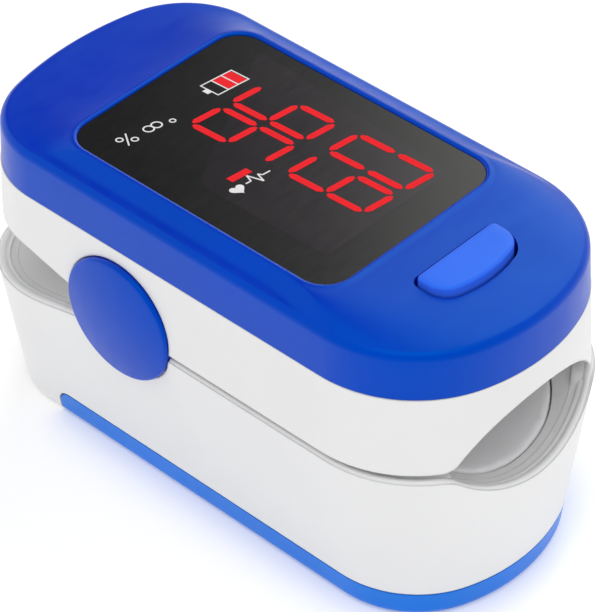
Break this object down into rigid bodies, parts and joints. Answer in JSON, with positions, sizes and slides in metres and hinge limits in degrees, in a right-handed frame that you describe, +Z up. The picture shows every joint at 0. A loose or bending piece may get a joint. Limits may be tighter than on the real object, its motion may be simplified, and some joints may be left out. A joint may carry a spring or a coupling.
{
  "type": "fingertip pulse oximeter",
  "caption": "Clip-on fingertip pulse oximeter: sprung hinged halves around a finger channel, screen and D-shaped button on top, sliding battery cover below.",
  "frame": {"origin": "centre of the flat underside, at the middle of the overall length and width", "axes": "+X across the width, +Y from the finger opening towards the pinch end, +Z up through the screen"},
  "size_m": [0.0298, 0.0571, 0.0321],
  "materials": {
    "white_shell": "satin gloss moulded ABS",
    "blue_shell": "satin gloss moulded ABS",
    "bright_blue": "satin gloss moulded ABS",
    "button_blue": "satin gloss moulded ABS",
    "tray_white": "fine matte moulded ABS",
    "pad_grey": "soft silicone",
    "window_black": "polished smoked acrylic",
    "display_dark": "satin",
    "circuit_green": "solder mask",
    "chip_black": "matte epoxy",
    "switch_steel": "brushed",
    "contact_nickel": "bright nickel plate",
    "cell_wrap": "printed shrink wrap, plain",
    "lens_clear": "clear polycarbonate",
    "sensor_dark": "moulded epoxy",
    "lead_amber": "polyimide film",
    "screw_steel": "zinc plated"
  },
  "bodies": {
    "lower_half": {"lower_shell": "white_shell", "lower_inner_cover": "tray_white", "lower_finger_pad": "pad_grey", "detector_board": "circuit_green", "light_detector": "sensor_dark", "detector_window": "lens_clear", "sensor_lead_lower": "lead_amber", "battery_left": "cell_wrap", "battery_right": "cell_wrap", "contact_spring_left": "contact_nickel", "contact_spring_right": "contact_nickel", "contact_plate_front_left": "contact_nickel", "contact_plate_front_right": "contact_nickel", "contact_plate_rear_left": "contact_nickel", "contact_plate_rear_right": "contact_nickel", "hinge_cap_left": "blue_shell", "hinge_cap_right": "blue_shell", "hinge_spring_left": "contact_nickel", "hinge_spring_right": "contact_nickel", "lower_screws": "screw_steel"},
    "upper_half": {"upper_shell": "white_shell", "top_cover": "blue_shell", "display_window": "window_black", "led_display_module": "display_dark", "main_board": "circuit_green", "microcontroller": "chip_black", "tact_switch_body": "switch_steel", "upper_inner_cover": "tray_white", "upper_finger_pad": "pad_grey", "emitter_board": "circuit_green", "light_emitter": "sensor_dark", "emitter_window": "lens_clear", "upper_screws": "screw_steel", "sensor_lead_upper": "lead_amber", "lead_socket": "chip_black"},
    "battery_cover": {"battery_cover": "bright_blue"},
    "power_button": {"power_button": "button_blue", "tact_switch_plunger": "chip_black"}
  },
  "joints": [
    {"name": "upper_tilt", "type": "hinge", "parent": "lower_half", "child": "upper_half", "pos_m": [0, 0.0068, 0.01875], "axis": [-1, 0, 0], "range_deg": [0, 16], "stiffness_Nm_per_rad": 0.15, "springref_deg": -14.32},
    {"name": "battery_cover_slide", "type": "slide", "parent": "lower_half", "child": "battery_cover", "axis": [0, -1, 0], "range_m": [0, 0.052]},
    {"name": "button_press", "type": "slide", "parent": "upper_half", "child": "power_button", "axis": [0, 0, -1], "range_m": [0, 0.00035], "stiffness_N_per_m": 1500}
  ]
}
